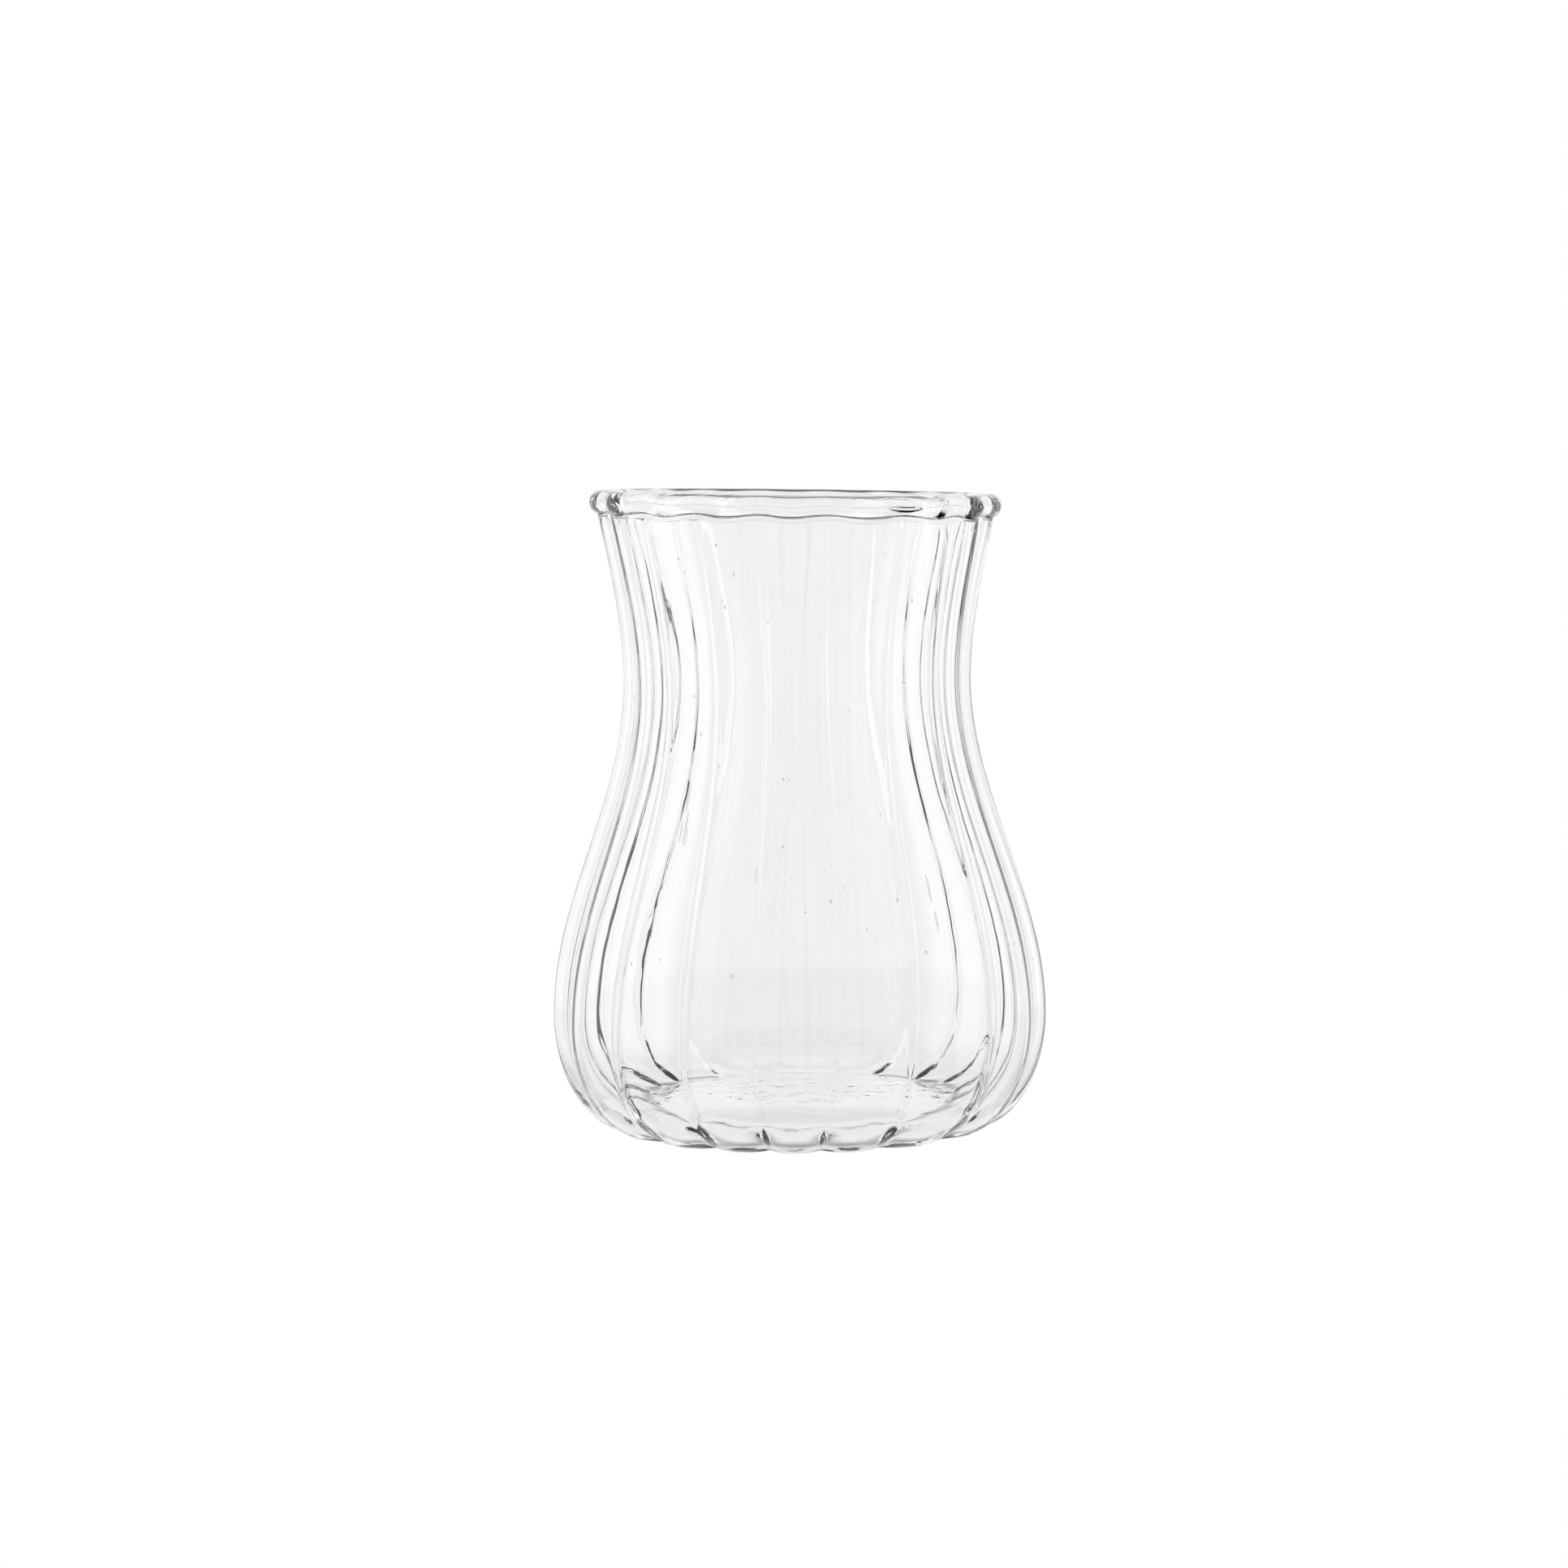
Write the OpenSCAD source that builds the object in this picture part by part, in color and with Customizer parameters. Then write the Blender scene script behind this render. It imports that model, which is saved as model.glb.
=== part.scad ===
// Fluted chai glass: a waisted, pot-bellied drinking glass blown in a ribbed mould.
// It stands on the table at z = 0, with its axis on Z and one flute ridge facing -Y.

/* [Outline] */
// Height from the table to the top of the rim
height = 96.3; // [80:0.1:125]
// Diameter over the rim, from ridge to ridge
rim_d = 62.5; // [52:0.5:80]
// Diameter over the ridges at the waist
waist_d = 53; // [44:0.2:66]
// Height of the waist above the table
waist_h = 68; // [56:0.5:82]
// Diameter over the ridges at the belly
belly_d = 75.2; // [62:0.2:92]
// Height of the widest point of the belly
belly_h = 17.8; // [14:0.2:22]
// Diameter of the circle that the ridges stand on
foot_d = 51.8; // [42:0.2:62]
// How far the lip flares out for each millimetre of height
lip_flare = 0.21; // [0:0.01:0.5]

/* [Glass] */
// Thickness of the blown wall
wall = 1.8; // [1.2:0.1:2.8]
// Thickness of the bottom
base_t = 2.4; // [1.6:0.1:3.2]
// Diameter of the floor inside, where the heel starts to rise
floor_d = 48.4; // [42:0.2:50]
// Thickness of the fire-polished bead at the rim, over a ridge
bead_d = 3.5; // [2.6:0.1:4.2]
// Thickness of the same bead over a valley
valley_bead_d = 3; // [2.4:0.1:4]

/* [Flutes] */
// Number of flutes round the glass
flutes = 18; // [12:1:24]
// Depth of a flute at the foot, where it curls under the heel
foot_depth = 3; // [1.5:0.1:4]
// Height over which that depth eases into the depth at the belly
foot_fade = 5; // [3:0.1:8]
// Depth of a flute at the belly
belly_depth = 1.1; // [0.6:0.1:1.6]
// Depth of a flute at the waist
waist_depth = 0.9; // [0.4:0.1:1.4]
// Depth of a flute at the rim
rim_depth = 0.6; // [0.2:0.1:1]
// How much of the depth of a flute shows on the inside of the wall
inside_share = 0.8; // [0:0.05:1]
// How much of it shows round the floor inside
floor_share = 0.6; // [0:0.05:1]
// How round the valley between two ridges is, from a crease at 0
valley_round = 0.12; // [0:0.02:1]

/* [Underside] */
// Width of the flat ring that the glass stands on, where the flutes cut into it
stand_w = 0.4; // [0.2:0.1:2]
// Height of the hollow under the base, and of the dome that it makes inside
punt_h = 2.9; // [0.6:0.1:4]

/* [Hidden] */
glass = [0.93, 0.96, 0.95, 0.45];

// Faces across one flute, and along the wall, the heel, the hollow below and the bead
flute_steps = 6;
wall_steps = 16;
heel_steps = 7;
punt_steps = 3;
bead_steps = 10;
around = flutes * flute_steps;

// Height at which the base ends and the wall starts
base_top = 6;
// Height of the rim's glass in thicknesses of the bead, which is its own zone above the wall
rim_zone_share = 1.35;
rim_bottom = height - rim_zone_share * bead_d;
// The bead's section turns from low on the outside, over the top, to low on the inside
bead_start = -50;
bead_end = 230;
// Radius of the hollow under the base, inside the ring that the glass stands on
punt_r = foot_d / 2 - foot_depth - stand_w;
// Step in height for measuring a slope
slope_step = 0.01;

// Flute across: 0 on a ridge and 1 in the valley between two ridges
function bump(c) = sqrt(c * c + valley_round * valley_round);
function valley(a) = (bump(1) - bump(cos(a * flutes / 2))) / (bump(1) - bump(0));

// Smooth rise from 0 to 1, and a value part of the way from a to b
function ease(u) = u * u * (3 - 2 * u);
function blend(a, b, u) = a + (b - a) * u;

// Outline over the ridges, in three stretches: heel, belly to waist, waist to rim
function heel_r(z) =
    let (u = (belly_h - z) / belly_h)
    blend(foot_d, belly_d, sqrt(max(0, 1 - u * u))) / 2;
function body_r(z) =
    let (u = (z - belly_h) / (waist_h - belly_h))
    blend(belly_d, waist_d, (1 - cos(180 * u)) / 2) / 2;
function lip_r(z) =
    let (
        length = height - bead_d / 2 - waist_h,
        u = (z - waist_h) / length,
        lip = (rim_d - bead_d + wall) / 2
    )
    blend(waist_d / 2, lip, ease(u)) + lip_flare * length * (u * u * u - u * u);
function ridge_r(z) = z < belly_h ? heel_r(z) : z < waist_h ? body_r(z) : lip_r(z);
function slope(z) = (ridge_r(z + slope_step) - ridge_r(z - slope_step)) / (2 * slope_step);
function lean(z) = sqrt(1 + slope(z) * slope(z));

// Outline of the hollow inside the ridges
function inner_heel_r(z) =
    let (u = (belly_h - z) / (belly_h - base_t))
    blend(floor_d / 2, belly_d / 2 - wall, sqrt(max(0, 1 - u * u)));
function hollow_r(z) = z < belly_h ? inner_heel_r(z) : ridge_r(z) - wall * lean(z);

// Depth of a flute, measured across the axis
function depth(z) =
    z < belly_h ? blend(foot_depth, belly_depth, ease(min(1, z / foot_fade))) :
    z < waist_h ? blend(belly_depth, waist_depth, ease((z - belly_h) / (waist_h - belly_h))) :
    blend(waist_depth, rim_depth, ease(min(1, (z - waist_h) / (height - bead_d - waist_h))));

// The same on the inside, where less of it shows the nearer the flutes come to the floor
function inner_depth(z) =
    let (
        low = max(0, (belly_h - z) / (belly_h - base_t)),
        share = blend(floor_share, inside_share, sqrt(max(0, 1 - low * low)))
    )
    share * depth(z - base_t * low);

function outer_point(z, a) = [ridge_r(z) - depth(z) * valley(a), z];
function inner_point(z, a) = [hollow_r(z) - inner_depth(z) * valley(a), z];

// Section of the wall at angle a, up the outside and down the inside
function wall_section(a) = concat(
    [for (i = [0:wall_steps]) outer_point(blend(base_top, rim_bottom, i / wall_steps), a)],
    [for (i = [wall_steps:-1:0]) inner_point(blend(base_top, rim_bottom, i / wall_steps), a)]
);

// Section of the rim: the bead rides in and out with the flutes, and is thickest over the ridges
function rim_section(a) =
    let (
        bead_r = blend(bead_d, valley_bead_d, valley(a)) / 2,
        centre = [rim_d / 2 - bead_r - rim_depth * valley(a), height - bead_r]
    )
    concat(
        [outer_point(rim_bottom, a)],
        [for (i = [0:bead_steps])
            let (turn = blend(bead_start, bead_end, i / bead_steps))
            centre + bead_r * [cos(turn), sin(turn)]],
        [inner_point(rim_bottom, a)]
    );

// Height by which the middle of the bottom is pushed up
function pushed_up(r) = punt_h * (1 - pow(min(1, r / punt_r), 3));

// Section of the underside, from near the middle out and up the heel
function base_outside(a) =
    let (tilt_end = acos((belly_h - base_top) / belly_h))
    concat(
        [for (i = [1:punt_steps])
            let (r = punt_r * i / punt_steps)
            [r, pushed_up(r)]],
        [for (i = [0:heel_steps])
            outer_point(belly_h * (1 - cos(tilt_end * i / heel_steps)), a)]
    );

// Section of the floor inside, from near the middle out and up the heel
function base_inside(a) =
    let (
        tilt_end = acos((belly_h - base_top) / (belly_h - base_t)),
        edge = inner_point(base_t, a)[0]
    )
    concat(
        [for (i = [1:punt_steps - 1])
            let (r = edge * i / punt_steps)
            [r, base_t + pushed_up(r)]],
        [for (i = [0:heel_steps])
            inner_point(belly_h - (belly_h - base_t) * cos(tilt_end * i / heel_steps), a)]
    );

function reversed(list) = [for (i = [len(list) - 1:-1:0]) list[i]];
function base_section(a) = concat(base_outside(a), reversed(base_inside(a)));

// Point of a section, turned round the axis: angle 0 faces -Y
function placed(p, a) = [p[0] * sin(a), -p[0] * cos(a), p[1]];
function turned(sections) =
    [for (j = [0:around - 1], p = sections[j]) placed(p, 360 * j / around)];

// Skin between neighbouring sections of n points each, along their points 0 to last
function skin(n, last) = [
    for (j = [0:around - 1], i = [0:last])
        let (
            k = (i + 1) % n,
            a = j * n,
            b = ((j + 1) % around) * n
        )
        each [[a + i, a + k, b + k], [a + i, b + k, b + i]]
];

// Solid ring swept round the axis from closed sections
module ring(sections) {
    n = len(sections[0]);
    polyhedron(turned(sections), skin(n, n - 1));
}

// Solid dish from open sections that start and end beside the axis, at low and high on it
module dish(sections, low, high) {
    n = len(sections[0]);
    points = turned(sections);
    bottom = len(points);
    top = bottom + 1;
    fans = [for (j = [0:around - 1])
        let (a = j * n, b = ((j + 1) % around) * n)
        each [[bottom, a, b], [top, b + n - 1, a + n - 1]]];
    polyhedron(concat(points, [[0, 0, low], [0, 0, high]]), concat(skin(n, n - 2), fans));
}

module base() {
    color(glass) dish([for (j = [0:around - 1]) base_section(360 * j / around)],
        punt_h, base_t + punt_h);
}

module fluted_wall() {
    color(glass) ring([for (j = [0:around - 1]) wall_section(360 * j / around)]);
}

module rim_bead() {
    color(glass) ring([for (j = [0:around - 1]) rim_section(360 * j / around)]);
}

base();
fluted_wall();
rim_bead();
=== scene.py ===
import math
import random

import bpy
import numpy as np
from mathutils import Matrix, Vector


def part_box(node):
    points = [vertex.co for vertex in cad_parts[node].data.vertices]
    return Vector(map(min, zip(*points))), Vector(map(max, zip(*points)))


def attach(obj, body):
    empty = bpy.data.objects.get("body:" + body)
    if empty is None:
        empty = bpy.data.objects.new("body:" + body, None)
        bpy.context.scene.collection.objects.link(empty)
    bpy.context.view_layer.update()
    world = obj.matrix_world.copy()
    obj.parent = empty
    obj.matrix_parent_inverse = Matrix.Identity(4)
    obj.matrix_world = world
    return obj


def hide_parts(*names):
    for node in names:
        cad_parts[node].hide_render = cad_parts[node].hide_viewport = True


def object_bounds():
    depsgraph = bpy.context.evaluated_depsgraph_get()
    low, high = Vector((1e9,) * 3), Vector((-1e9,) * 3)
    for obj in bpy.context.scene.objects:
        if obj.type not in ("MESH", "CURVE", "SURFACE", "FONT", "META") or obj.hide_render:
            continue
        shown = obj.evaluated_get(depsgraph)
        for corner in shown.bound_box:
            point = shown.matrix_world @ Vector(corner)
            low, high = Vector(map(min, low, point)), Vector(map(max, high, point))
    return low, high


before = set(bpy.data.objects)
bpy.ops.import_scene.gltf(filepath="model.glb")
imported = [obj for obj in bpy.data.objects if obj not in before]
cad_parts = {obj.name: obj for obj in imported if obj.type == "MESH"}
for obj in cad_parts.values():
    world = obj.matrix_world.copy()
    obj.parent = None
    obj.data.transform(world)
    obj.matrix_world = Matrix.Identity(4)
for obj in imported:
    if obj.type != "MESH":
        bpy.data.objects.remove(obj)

# Sizes are in metres, and angles in degrees. The axis of the glass is Z, and angle 0 faces -Y.
MM = 0.001
cad_low, cad_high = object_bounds()
rim_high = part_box("rim_bead")[1]
wall_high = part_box("fluted_wall")[1]

# Outline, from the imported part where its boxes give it
HEIGHT = rim_high.z
RIM_R = rim_high.y
BELLY_R = wall_high.y
BELLY_H = 17.8 * MM
WAIST_R = 26.5 * MM
WAIST_H = 68 * MM
FOOT_R = 25.9 * MM
LIP_FLARE = 0.21

# Glass. Over the valleys the bead at the rim is thinner, and a little wider than it is tall.
WALL = 1.8 * MM
BASE_T = 2.4 * MM
FLOOR_R = 24.2 * MM
BEAD_R = 1.75 * MM
VALLEY_BEAD_R = 1.5 * MM
VALLEY_BEAD_WIDE = 1.12

# Flutes: their depth at the foot, the belly, the waist and the rim
FLUTES = 18
FOOT_DEPTH = 2.6 * MM
FOOT_FADE = 3.5 * MM
BELLY_DEPTH = 0.9 * MM
WAIST_DEPTH = 0.9 * MM
RIM_DEPTH = 0.5 * MM
INSIDE_SHARE = 1.0
FLOOR_SHARE = 0.6
VALLEY_ROUND = 0.06

# Underside: the middle is pushed up inside the ring that the glass stands on
PUNT_R = 22.5 * MM
PUNT_H = 2.9 * MM

# Hand work: how far the flutes wander round the axis (degrees), how much their depth and the wall
# vary, and how much lower the rim is on the right. The waves are the slow ones that all of it follows.
WANDER = 3
WANDER_SEED = 9404
DEPTH_VARIES = 0.12
DEPTH_SEED = 2
WALL_VARIES = 0.1 * MM
WALL_SEED = 3
RIM_DROP = 1.15 * MM
RIM_DROP_FROM = 60 * MM
SOFT_RIM = 8 * MM
WAVES = 5
WAVE_HEIGHT = 90 * MM
WAVE_SIZE = (0.5, 1)

# Air in the glass. Small seeds are scattered all round, and the ones that the photograph shows are
# listed: angle (degrees), height, length and width, in millimetres. Long ones are drawn out up the
# wall, and the line in the rim lies along it.
SEEDS = 44
AIR_SEED = 4
SEED_LENGTH = (0.25 * MM, 0.6 * MM)
SEED_WIDTH = (0.16 * MM, 0.3 * MM)
SEED_HEIGHT = (22 * MM, 90 * MM)
SEEN_AIR = [
    (-24.0, 89.0, 0.5, 0.35),
    (-19.1, 84.9, 0.9, 0.3),
    (-22.7, 79.9, 0.5, 0.35),
    (-9.2, 77.8, 0.4, 0.35),
    (-11.0, 65.2, 0.5, 0.3),
    (-25.3, 56.3, 0.6, 0.35),
    (-4.4, 54.7, 0.4, 0.35),
    (-4.2, 45.2, 0.4, 0.3),
    (-11.6, 41.1, 2.2, 0.3),
    (8.0, 37.4, 0.5, 0.4),
    (25.4, 37.3, 0.7, 0.35),
    (31.3, 29.7, 0.5, 0.35),
    (38.5, 80.8, 0.5, 0.35),
    (-34.6, 57.2, 3.0, 0.4),
    (-35.0, 55.5, 3.0, 0.4),
    (-34.4, 52.0, 4.5, 0.35),
    (-33.6, 47.5, 5.0, 0.35),
    (-34.8, 47.0, 3.5, 0.25),
    (-33.0, 46.2, 2.6, 0.25),
    (-37.3, 40.4, 3.5, 0.5),
    (-38.0, 34.1, 4.5, 0.5),
    (35.0, 38.6, 4.0, 0.35),
    (35.4, 34.0, 3.0, 0.3),
]
RIM_AIR = [
    (32, 6.6, 0.55),
]
AIR_FLAT = 1.0
RIM_AIR_FLAT = 1.6
AIR_RINGS = 8
AIR_SIDES = 10

# Clear glass, with ripples in its surface: slow ones that run up the glass, stronger on the rim, and
# the fine ones of a chilled bottom
GLASS_IOR = 1.5
RIPPLE = 0.02 * MM
RIPPLE_STRETCH = (1, 1, 0.15)
RIPPLE_SCALE = 250
CHILL = 2.5
CHILL_SCALE = 450
CHILL_DETAIL = 1.5
CHILL_FADE = (4 * MM, 7 * MM)
RIM_RIPPLE = 10
RIM_FADE = (HEIGHT - 5 * MM, HEIGHT - 3 * MM)

# Painted light on the top of the rim, where the surface faces up: a trace of milky white there stands
# in for light. Without it the bead is black from above, because the light that runs down inside the
# wall is lost.
RIM_TOP_PAINTED_LIGHT = (0.6, 0.95)
RIM_PAINTED_LIGHT_CLEAR = 0.82

# Fineness of the mesh
FLUTE_STEPS = 28
AROUND = FLUTES * FLUTE_STEPS
FLOOR_STEPS = 26
HEEL_STEPS = 34
WALL_STEPS = 90
BEAD_STEPS = 26
MEET_STEPS = 4
SLOPE_STEP = 0.01 * MM

# The photograph's view: a 100 mm lens on a 36 mm sensor, looking a little down
CAMERA_DISTANCE = 654 * MM
CAMERA_HEIGHT = 106.4 * MM
CAMERA_SIDE = -1.69 * MM
CAMERA_PITCH = 4.77
CAMERA_ROLL = 0.45
LENS = 100
SENSOR = 36
CLIP_START = 10 * MM

# Table top: it glows so that the bare top is white to the camera. Through the glass it is glossy and
# shows the studio, but under the glass it glows evenly, with a painted contact shadow, a darker ring of
# glow, where the foot stands.
TABLE_R = 210 * MM
TABLE_FADE_R = 170 * MM
TABLE_SIDES = 96
TABLE_GAP = 0.05 * MM
TABLE_GREY = 0.4
TABLE_GLOW = 0.87
TABLE_GLOSS = 0.94
TABLE_ROUGHNESS = 0.08
UNDER_R = (40 * MM, 70 * MM)
UNDER_GLOW = 0.85
SHADOW_RING_R = 25.5 * MM
SHADOW_RING_WIDE = 2 * MM
PAINTED_SHADOW_GLOW = 0.3

# Studio: white panels stand all round the glass, with a dimmer gap between each two. Across a panel the
# light follows a wave that is 1 in the middle of the panel and -1 in the middle of a gap. The limits of
# the back and the sides are a cosine and a squared sine of the direction. A dark band runs round above
# the panels, and inside it there is a soft box overhead.
PANELS = 8
GAP_CORE = -0.96
GAP_EDGE = -0.88
SIDE_EDGE = (0.3, 0.7)
SIDE_GAP_LIGHT = 0.8
BACK_EDGE = (-0.5, 0.5)
BACK_GAP_LIGHT = 0.9
FRONT_GAP_LIGHT = 0.6
MIDDLE_EDGE = 0.5
MIDDLE_LIGHT = 0.87
BAND_START = (0.58, 0.66)
BAND_LIGHT = 0.04
BAND_END = (0.84, 0.9)

# How often light may turn in all, and how often it may be reflected. Light that is reflected more often
# inside the glass is lost, which draws the dark lines.
BOUNCES = 24
REFLECTIONS = 8


def ease(u):
    u = np.clip(u, 0, 1)
    return u * u * (3 - 2 * u)


def blend(a, b, u):
    return a + (b - a) * u


def bump(c):
    return np.sqrt(c * c + VALLEY_ROUND * VALLEY_ROUND)


def valley(angle):
    """0 on a ridge and 1 in the valley between two ridges."""
    return (bump(1) - bump(np.cos(angle * FLUTES / 2))) / (bump(1) - bump(0))


def wander(seed):
    """A slow wave round the axis and up the glass, between about -1 and 1."""
    draw = random.Random(seed)
    parts = [(k, draw.uniform(*WAVE_SIZE), draw.uniform(0, 2 * math.pi), draw.uniform(-1, 1))
             for k in range(1, WAVES + 1)]
    total = sum(size for k, size, start, climb in parts)

    def wave(angle, z):
        return sum(size * np.sin(k * angle + start + climb * 2 * math.pi * z / WAVE_HEIGHT)
                   for k, size, start, climb in parts) * 2 / total

    return wave


def ridge_radius(z):
    """Outline over the ridges above the heel: belly to waist, waist to rim."""
    u = np.clip((z - BELLY_H) / (WAIST_H - BELLY_H), 0, 1)
    body = blend(BELLY_R, WAIST_R, (1 - np.cos(np.pi * u)) / 2)
    length = HEIGHT - BEAD_R - WAIST_H
    u = (z - WAIST_H) / length
    lip = blend(WAIST_R, RIM_R - BEAD_R + WALL / 2, ease(u)) + LIP_FLARE * length * (u**3 - u * u)
    return np.where(z < WAIST_H, body, lip)


def hollow_radius(z):
    """Outline of the inside, under the ridges and above the heel."""
    slope = (ridge_radius(z + SLOPE_STEP) - ridge_radius(z - SLOPE_STEP)) / (2 * SLOPE_STEP)
    return ridge_radius(z) - WALL * np.sqrt(1 + slope * slope)


def flute_depth(z):
    """Depth of a flute at height z, measured towards the axis."""
    heel = blend(FOOT_DEPTH, BELLY_DEPTH, ease(z / FOOT_FADE))
    body = blend(BELLY_DEPTH, WAIST_DEPTH, ease((z - BELLY_H) / (WAIST_H - BELLY_H)))
    lip = blend(WAIST_DEPTH, RIM_DEPTH, ease((z - WAIST_H) / (HEIGHT - 2 * BEAD_R - WAIST_H)))
    return np.where(z < BELLY_H, heel, np.where(z < WAIST_H, body, lip))


def pushed_up(r):
    """Height by which the middle of the bottom is pushed up."""
    return PUNT_H * (1 - np.clip(r / PUNT_R, 0, 1)**3)


def mesh_object(name, verts, faces):
    mesh = bpy.data.meshes.new(name)
    mesh.from_pydata(verts, [], faces)
    mesh.polygons.foreach_set("use_smooth", [True] * len(mesh.polygons))
    mesh.update()
    obj = bpy.data.objects.new(name, mesh)
    bpy.context.scene.collection.objects.link(obj)
    return obj


shift = wander(WANDER_SEED)
deeper = wander(DEPTH_SEED)
thicker = wander(WALL_SEED)


def lobes_at(angle, z):
    """The flutes as hand work left them: 0 on a ridge, about 1 in a valley, and softer at the rim."""
    where = angle + math.radians(WANDER) * shift(angle, z)
    soft = ease((z - HEIGHT + SOFT_RIM) / SOFT_RIM)
    wave = (1 - np.cos(FLUTES * where)) / 2
    return blend(valley(where), wave, soft) * (1 + DEPTH_VARIES * deeper(angle, z))


def outside(angle, z):
    """Radius of the outside of the wall, above the heel."""
    return ridge_radius(z) - flute_depth(z) * lobes_at(angle, z)


def inside(angle, z):
    """Radius of the inside of the wall, above the heel."""
    cut = INSIDE_SHARE * flute_depth(z) * lobes_at(angle, z)
    return hollow_radius(z) - cut + WALL_VARIES * thicker(angle, z)


def underside(angle):
    """Rings of (radius, height) from beside the middle of the underside out to the foot."""
    foot = FOOT_R - FOOT_DEPTH * lobes_at(angle, 0)
    radii = [foot * i / FLOOR_STEPS for i in range(1, FLOOR_STEPS)]
    return [(r, pushed_up(r)) for r in radii]


def outer_heel(angle):
    """Rings from the foot up to the widest part of the belly."""
    rings = []
    for i in range(HEEL_STEPS + 1):
        turn = math.pi / 2 * i / HEEL_STEPS
        z = BELLY_H * (1 - math.cos(turn))
        cut = flute_depth(z) * lobes_at(angle, z)
        rings.append((blend(FOOT_R, BELLY_R, math.sin(turn)) - cut, z))
    return rings


def bead(angle):
    """Rings over the bead, and the heights at which the outside and the inside of the wall meet it."""
    v = lobes_at(angle, HEIGHT)
    tall = blend(BEAD_R, VALLEY_BEAD_R, v)
    wide = tall * blend(1, VALLEY_BEAD_WIDE, v)
    middle_r = RIM_R - RIM_DEPTH * v - wide
    middle_z = HEIGHT - tall

    def meet(radius, share):
        low = middle_z - tall
        for i in range(MEET_STEPS):
            off = radius(low) - share * flute_depth(low) * v - middle_r
            low = middle_z - tall * np.sqrt(1 - (off / wide)**2)
        return low, np.arctan2((low - middle_z) / tall, off / wide)

    low_out, start = meet(ridge_radius, 1)
    low_in, end = meet(hollow_radius, INSIDE_SHARE)
    turns = [blend(start, 2 * math.pi + end, i / BEAD_STEPS) for i in range(BEAD_STEPS + 1)]
    rings = [(middle_r + wide * np.cos(turn), middle_z + tall * np.sin(turn)) for turn in turns]
    return rings, low_out, low_in


def inner_heel(angle):
    """Rings from the widest part of the inside down to the edge of the floor."""
    rings = []
    for i in range(HEEL_STEPS, -1, -1):
        turn = math.pi / 2 * i / HEEL_STEPS
        z = BELLY_H - (BELLY_H - BASE_T) * math.cos(turn)
        share = blend(FLOOR_SHARE, INSIDE_SHARE, math.sin(turn))
        cut = share * flute_depth(z - BASE_T * math.cos(turn)) * lobes_at(angle, z)
        r = blend(FLOOR_R, BELLY_R - WALL, math.sin(turn)) - cut
        rings.append((r + WALL_VARIES * thicker(angle, z), z))
    return rings


def glass_rings(angle):
    """Rings from under the middle, out and up, over the bead and down inside to the floor."""
    over, low_out, low_in = bead(angle)
    up = [blend(BELLY_H, low_out, i / WALL_STEPS) for i in range(1, WALL_STEPS)]
    down = [blend(BELLY_H, low_in, i / WALL_STEPS) for i in range(WALL_STEPS - 1, 0, -1)]
    rings = underside(angle) + outer_heel(angle)
    rings += [(outside(angle, z), z) for z in up]
    rings += over
    rings += [(inside(angle, z), z) for z in down]
    rings += inner_heel(angle)
    edge = rings[-1][0]
    radii = [edge * i / FLOOR_STEPS for i in range(FLOOR_STEPS - 1, 0, -1)]
    return rings + [(r, BASE_T + pushed_up(r)) for r in radii]


def settle(points):
    """Lowers the top of the glass towards the right, in place."""
    drop = RIM_DROP * ease((points[..., 2] - RIM_DROP_FROM) / (HEIGHT - RIM_DROP_FROM))
    points[..., 2] -= drop * (1 + points[..., 0] / RIM_R) / 2


def wall_air(angle, z, along, out, off):
    """Point of a bubble in the wall: angle, radius and height."""
    a = angle + off / BELLY_R
    h = z + along
    cut = flute_depth(h) * float(lobes_at(a, h)) * (1 + INSIDE_SHARE) / 2
    return a, (ridge_radius(h) + hollow_radius(h)) / 2 - cut + AIR_FLAT * out, h


def rim_air(angle, z, along, out, off):
    """Point of a bubble in the bead: angle, radius and height."""
    a = angle + along / RIM_R
    v = float(lobes_at(a, HEIGHT))
    wide = blend(BEAD_R, VALLEY_BEAD_R * VALLEY_BEAD_WIDE, v)
    return a, RIM_R - RIM_DEPTH * v - wide + RIM_AIR_FLAT * out, HEIGHT - BEAD_R + off


def bubble_faces():
    """Faces of a bubble, which has a point at each end and rings between them."""
    last = (AIR_RINGS - 1) * AIR_SIDES + 1
    faces = []
    for k in range(AIR_SIDES):
        m = (k + 1) % AIR_SIDES
        faces.append((0, 1 + k, 1 + m))
        for i in range(AIR_RINGS - 2):
            a, b = 1 + i * AIR_SIDES, 1 + (i + 1) * AIR_SIDES
            faces.append((a + k, b + k, b + m, a + m))
        faces.append((last, last - AIR_SIDES + m, last - AIR_SIDES + k))
    return faces


def air_bubble(angle, z, length, width, in_rim):
    """Points and faces of a bubble inside the glass, drawn out up the wall or along the rim."""
    place = rim_air if in_rim else wall_air
    points = []
    for i in range(AIR_RINGS + 1):
        turn = math.pi * i / AIR_RINGS
        along = -length / 2 * math.cos(turn)
        half = width / 2 * math.sin(turn)
        for k in range(AIR_SIDES if 0 < i < AIR_RINGS else 1):
            side = 2 * math.pi * k / AIR_SIDES
            a, r, h = place(angle, z, along, half * math.cos(side), half * math.sin(side))
            points.append((float(r) * math.sin(a), -float(r) * math.cos(a), h))
    points = np.array(points)
    settle(points)
    faces = bubble_faces()
    if in_rim:
        faces = [face[::-1] for face in faces]
    return points, faces


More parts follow.
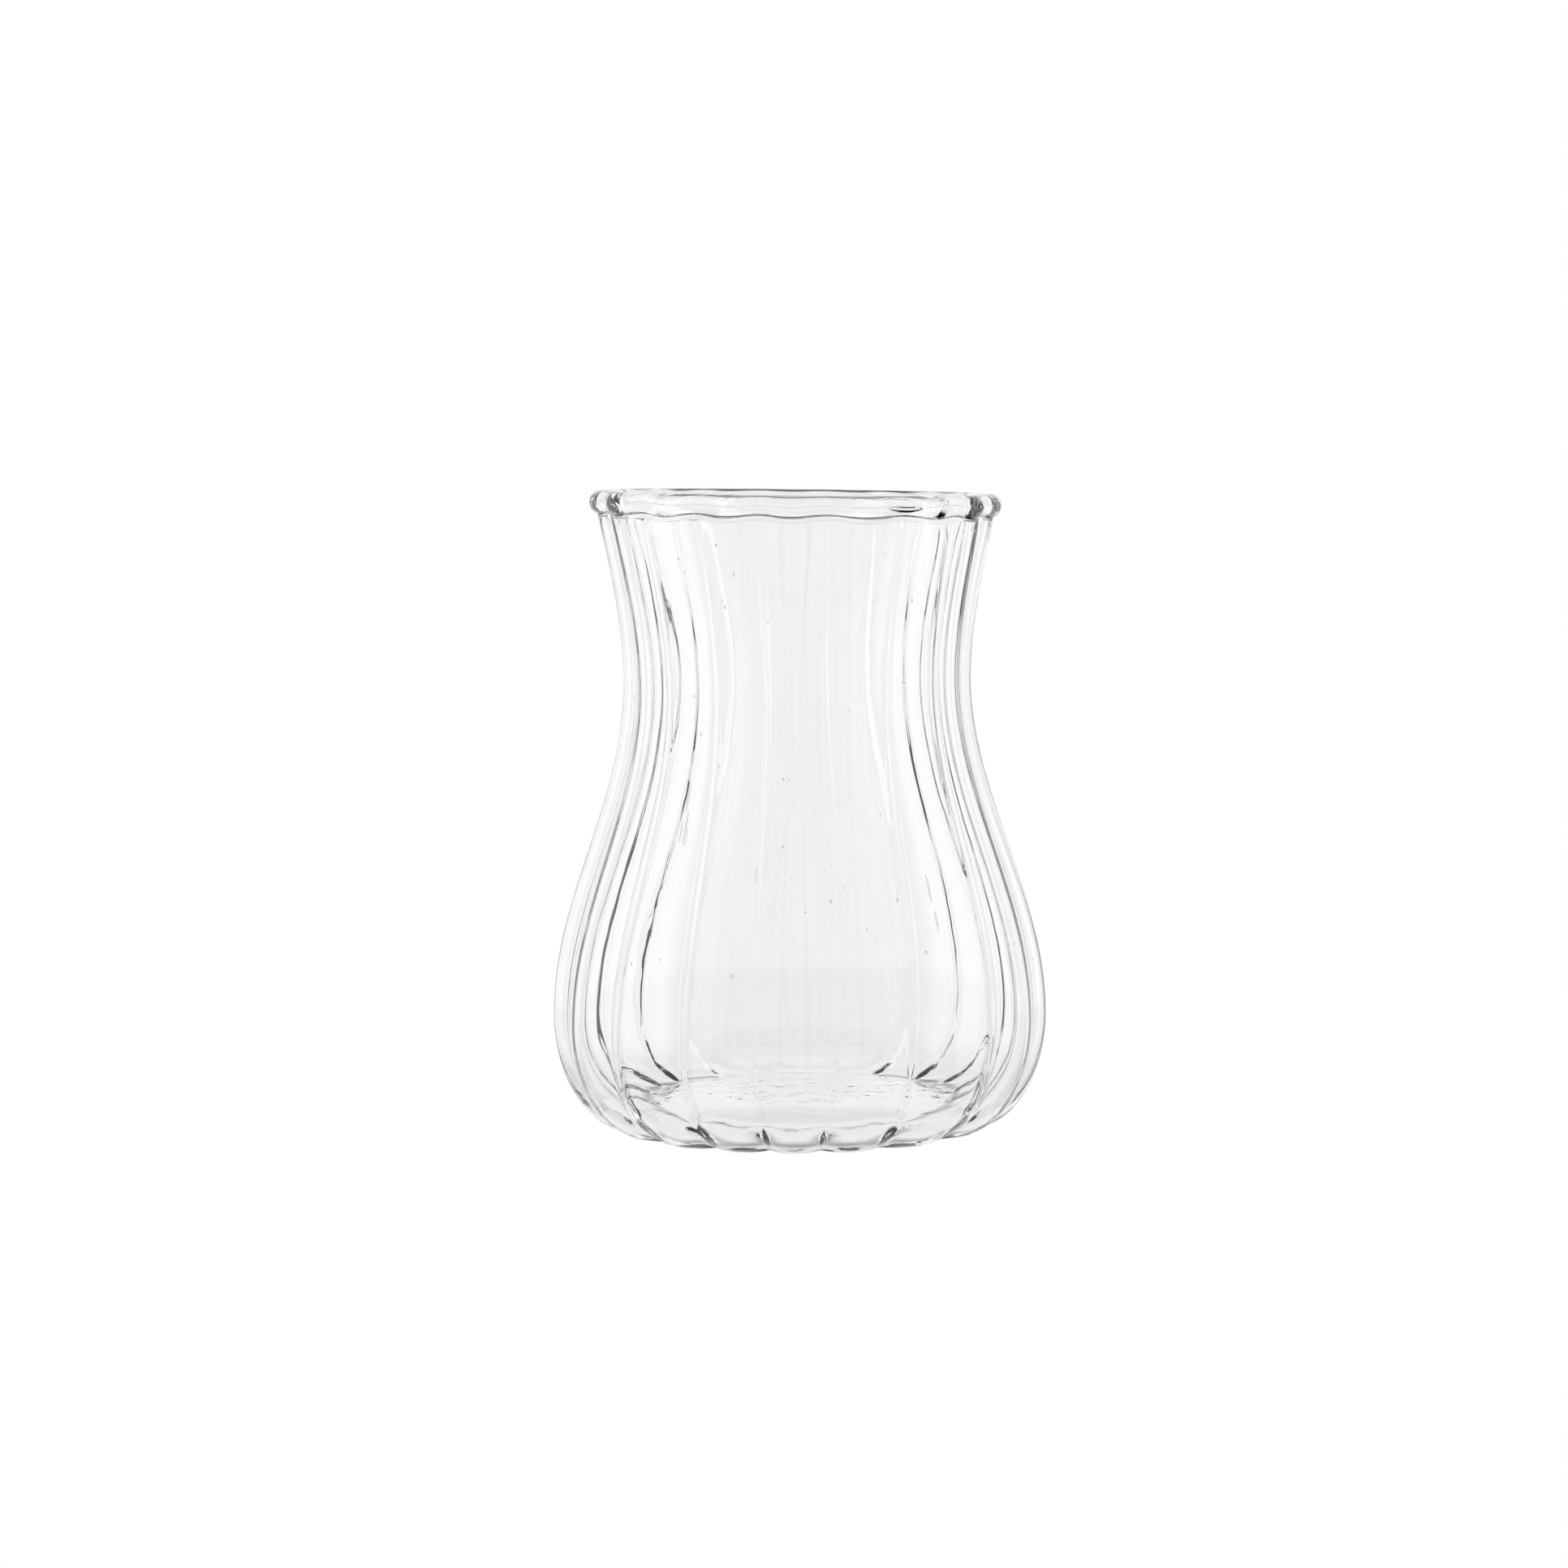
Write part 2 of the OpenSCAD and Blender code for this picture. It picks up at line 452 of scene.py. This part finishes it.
def all_air():
    """The bubbles that the photograph shows, and small ones scattered all round."""
    draw = random.Random(AIR_SEED)
    found = [(math.radians(a), z * MM, length * MM, width * MM, False)
             for a, z, length, width in SEEN_AIR]
    found += [(math.radians(a), 0, length * MM, width * MM, True) for a, length, width in RIM_AIR]
    for i in range(SEEDS):
        found.append((draw.uniform(0, 2 * math.pi), draw.uniform(*SEED_HEIGHT),
                      draw.uniform(*SEED_LENGTH), draw.uniform(*SEED_WIDTH), False))
    return [air_bubble(*bubble) for bubble in found]


def make_glass():
    """One continuous skin for the whole glass, swept round the axis, with the air that is in it."""
    angle = 2 * math.pi * np.arange(AROUND) / AROUND
    rings = [(r * np.sin(angle), -r * np.cos(angle), z + 0 * angle) for r, z in glass_rings(angle)]
    points = np.array(rings).transpose(2, 0, 1)
    settle(points)
    # The flutes that wander stay inside the CAD part's box
    points[..., 0] *= min(1, cad_high.x / abs(points[..., 0]).max())
    points[..., 1] *= min(1, cad_high.y / abs(points[..., 1]).max())
    n = len(rings)
    verts = points.reshape(-1, 3).tolist()
    low, high = len(verts), len(verts) + 1
    verts += [(0, 0, PUNT_H), (0, 0, PUNT_H + BASE_T)]
    faces = []
    for j in range(AROUND):
        a, b = j * n, (j + 1) % AROUND * n
        faces += [(a + i, b + i, b + i + 1, a + i + 1) for i in range(n - 1)]
        faces += [(low, b, a), (high, a + n - 1, b + n - 1)]
    for points, skin in all_air():
        start = len(verts)
        verts += points.tolist()
        faces += [tuple(start + i for i in face) for face in skin]
    return mesh_object("glass_body", verts, faces)


def new_nodes(owner):
    """Empties a node tree, and returns its nodes, its links and three helpers that add nodes."""
    owner.use_nodes = True
    nodes, links = owner.node_tree.nodes, owner.node_tree.links
    nodes.clear()

    def join(socket, value):
        if isinstance(value, (int, float)):
            socket.default_value = value
        else:
            links.new(value, socket)

    def maths(operation, a, b=None):
        node = nodes.new("ShaderNodeMath")
        node.operation = operation
        join(node.inputs[0], a)
        if b is not None:
            join(node.inputs[1], b)
        return node.outputs[0]

    def ramp(value, from_low, from_high, to_low, to_high):
        node = nodes.new("ShaderNodeMapRange")
        node.interpolation_type = "SMOOTHSTEP"
        join(node.inputs["Value"], value)
        node.inputs["From Min"].default_value = from_low
        node.inputs["From Max"].default_value = from_high
        node.inputs["To Min"].default_value = to_low
        node.inputs["To Max"].default_value = to_high
        return node.outputs[0]

    def choose(factor, a, b):
        node = nodes.new("ShaderNodeMix")
        node.data_type = "FLOAT"
        join(node.inputs["Factor"], factor)
        join(node.inputs["A"], a)
        join(node.inputs["B"], b)
        return node.outputs["Result"]

    return nodes, links, maths, ramp, choose


def clear_glass():
    """Clear glass that is never quite even: ripples run up it, its bottom is chilled, and painted light
    makes the top of its rim a little milky.
    """
    material = bpy.data.materials.new("clear_glass")
    nodes, links, maths, ramp, choose = new_nodes(material)
    out = nodes.new("ShaderNodeOutputMaterial")
    shader = nodes.new("ShaderNodeBsdfPrincipled")
    shader.inputs["Base Color"].default_value = (1, 1, 1, 1)
    shader.inputs["Roughness"].default_value = 0
    shader.inputs["IOR"].default_value = GLASS_IOR
    shader.inputs["Transmission Weight"].default_value = 1
    links.new(shader.outputs["BSDF"], out.inputs["Surface"])
    coords = nodes.new("ShaderNodeTexCoord")
    split = nodes.new("ShaderNodeSeparateXYZ")
    links.new(coords.outputs["Object"], split.inputs[0])
    height = split.outputs["Z"]

    stretch = nodes.new("ShaderNodeMapping")
    stretch.inputs["Scale"].default_value = RIPPLE_STRETCH
    links.new(coords.outputs["Object"], stretch.inputs["Vector"])
    slow = nodes.new("ShaderNodeTexNoise")
    slow.inputs["Scale"].default_value = RIPPLE_SCALE
    links.new(stretch.outputs[0], slow.inputs["Vector"])
    fine = nodes.new("ShaderNodeTexNoise")
    fine.inputs["Scale"].default_value = CHILL_SCALE
    fine.inputs["Detail"].default_value = CHILL_DETAIL
    links.new(coords.outputs["Object"], fine.inputs["Vector"])
    ripples = maths("MULTIPLY", slow.outputs["Fac"], ramp(height, *RIM_FADE, 1, RIM_RIPPLE))
    chill = maths("MULTIPLY", fine.outputs["Fac"], ramp(height, *CHILL_FADE, CHILL, 0))
    bumps = nodes.new("ShaderNodeBump")
    bumps.inputs["Distance"].default_value = RIPPLE
    links.new(maths("ADD", ripples, chill), bumps.inputs["Height"])
    links.new(bumps.outputs[0], shader.inputs["Normal"])

    # Painted light: the glass turns a little milky where the top of the rim faces up, so that it shows
    # white there.
    facing = nodes.new("ShaderNodeSeparateXYZ")
    links.new(coords.outputs["Normal"], facing.inputs[0])
    milky_painted_light = ramp(facing.outputs["Z"], *RIM_TOP_PAINTED_LIGHT, 1, RIM_PAINTED_LIGHT_CLEAR)
    clear = choose(ramp(height, *RIM_FADE, 0, 1), 1, milky_painted_light)
    links.new(clear, shader.inputs["Transmission Weight"])
    return material


def table_top():
    """White to the camera. The glass sees a glowing disc under itself, with a painted shadow ring where
    the foot stands, and a glossy top further out.
    """
    material = bpy.data.materials.new("floor")
    nodes, links, maths, ramp, choose = new_nodes(material)
    out = nodes.new("ShaderNodeOutputMaterial")
    coords = nodes.new("ShaderNodeTexCoord")
    length = nodes.new("ShaderNodeVectorMath")
    length.operation = "LENGTH"
    links.new(coords.outputs["Object"], length.inputs[0])
    radius = length.outputs["Value"]

    def mixed(factor, first, second):
        mix = nodes.new("ShaderNodeMixShader")
        links.new(factor, mix.inputs[0])
        links.new(first.outputs[0], mix.inputs[1])
        links.new(second.outputs[0], mix.inputs[2])
        return mix

    diffuse = nodes.new("ShaderNodeBsdfDiffuse")
    diffuse.inputs["Color"].default_value = (TABLE_GREY, TABLE_GREY, TABLE_GREY, 1)
    glow = nodes.new("ShaderNodeEmission")
    glow.inputs["Strength"].default_value = TABLE_GLOW
    seen = nodes.new("ShaderNodeAddShader")
    links.new(diffuse.outputs[0], seen.inputs[0])
    links.new(glow.outputs[0], seen.inputs[1])

    # Painted shadow: the glow under the glass is darker in a ring where the foot stands.
    under = nodes.new("ShaderNodeEmission")
    off = maths("ABSOLUTE", maths("SUBTRACT", radius, SHADOW_RING_R))
    links.new(ramp(off, 0, SHADOW_RING_WIDE, PAINTED_SHADOW_GLOW, UNDER_GLOW), under.inputs["Strength"])
    gloss = nodes.new("ShaderNodeBsdfAnisotropic")
    gloss.inputs["Color"].default_value = (TABLE_GLOSS, TABLE_GLOSS, TABLE_GLOSS, 1)
    gloss.inputs["Roughness"].default_value = TABLE_ROUGHNESS
    around = mixed(ramp(radius, *UNDER_R, 0, 1), under, gloss)

    path = nodes.new("ShaderNodeLightPath")
    top = mixed(path.outputs["Is Camera Ray"], around, seen)
    clear = nodes.new("ShaderNodeBsdfTransparent")
    faded = mixed(ramp(radius, TABLE_FADE_R, TABLE_R, 0, 1), top, clear)
    links.new(faded.outputs[0], out.inputs["Surface"])
    return material


def make_floor():
    """A round pale table top: it takes the shadow, and fades into the background at its edge."""
    corners = [2 * math.pi * i / TABLE_SIDES for i in range(TABLE_SIDES)]
    verts = [(TABLE_R * math.cos(a), TABLE_R * math.sin(a), 0) for a in corners]
    floor = mesh_object("floor", verts, [tuple(range(TABLE_SIDES))])
    floor.data.materials.append(table_top())
    floor.location.z = -TABLE_GAP


def make_world():
    """White to the camera. The glass sees the studio's panels, gaps, dark band and overhead box."""
    world = bpy.data.worlds.new("studio")
    bpy.context.scene.world = world
    nodes, links, maths, ramp, choose = new_nodes(world)
    out = nodes.new("ShaderNodeOutputWorld")
    coords = nodes.new("ShaderNodeTexCoord")
    split = nodes.new("ShaderNodeSeparateXYZ")
    links.new(coords.outputs["Generated"], split.inputs[0])
    azimuth = maths("ARCTAN2", split.outputs["X"], split.outputs["Y"])
    wave = maths("COSINE", maths("MULTIPLY", azimuth, PANELS))
    sideways = maths("POWER", maths("SINE", azimuth), 2)
    behind = ramp(maths("COSINE", azimuth), *BACK_EDGE, FRONT_GAP_LIGHT, BACK_GAP_LIGHT)
    gap_light = choose(ramp(sideways, *SIDE_EDGE, 0, 1), behind, SIDE_GAP_LIGHT)
    gaps = choose(ramp(wave, GAP_CORE, GAP_EDGE, 0, 1), gap_light, 1)
    shade = ramp(wave, MIDDLE_EDGE, 1, 1, MIDDLE_LIGHT)
    band = ramp(split.outputs["Z"], *BAND_START, 1, BAND_LIGHT)
    above = choose(ramp(split.outputs["Z"], *BAND_END, 0, 1), band, 1)
    studio = maths("MULTIPLY", maths("MULTIPLY", gaps, shade), above)
    path = nodes.new("ShaderNodeLightPath")
    background = nodes.new("ShaderNodeBackground")
    background.inputs["Color"].default_value = (1, 1, 1, 1)
    links.new(choose(path.outputs["Is Camera Ray"], studio, 1), background.inputs["Strength"])
    links.new(background.outputs[0], out.inputs["Surface"])


def make_camera():
    """The camera of the photograph."""
    data = bpy.data.cameras.new("camera")
    data.lens = LENS
    data.sensor_width = SENSOR
    data.clip_start = CLIP_START
    camera = bpy.data.objects.new("camera", data)
    bpy.context.scene.collection.objects.link(camera)
    camera.location = (CAMERA_SIDE, -CAMERA_DISTANCE, CAMERA_HEIGHT)
    camera.rotation_euler = (math.radians(90 - CAMERA_PITCH), math.radians(CAMERA_ROLL), 0)
    bpy.context.scene.camera = camera


glass = make_glass()
glass.data.materials.append(clear_glass())
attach(glass, "root")
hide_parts("base", "fluted_wall", "rim_bead")
make_floor()
make_world()
make_camera()
bpy.context.scene.view_settings.view_transform = "Standard"
bpy.context.scene.cycles.max_bounces = BOUNCES
bpy.context.scene.cycles.transmission_bounces = BOUNCES
bpy.context.scene.cycles.glossy_bounces = REFLECTIONS
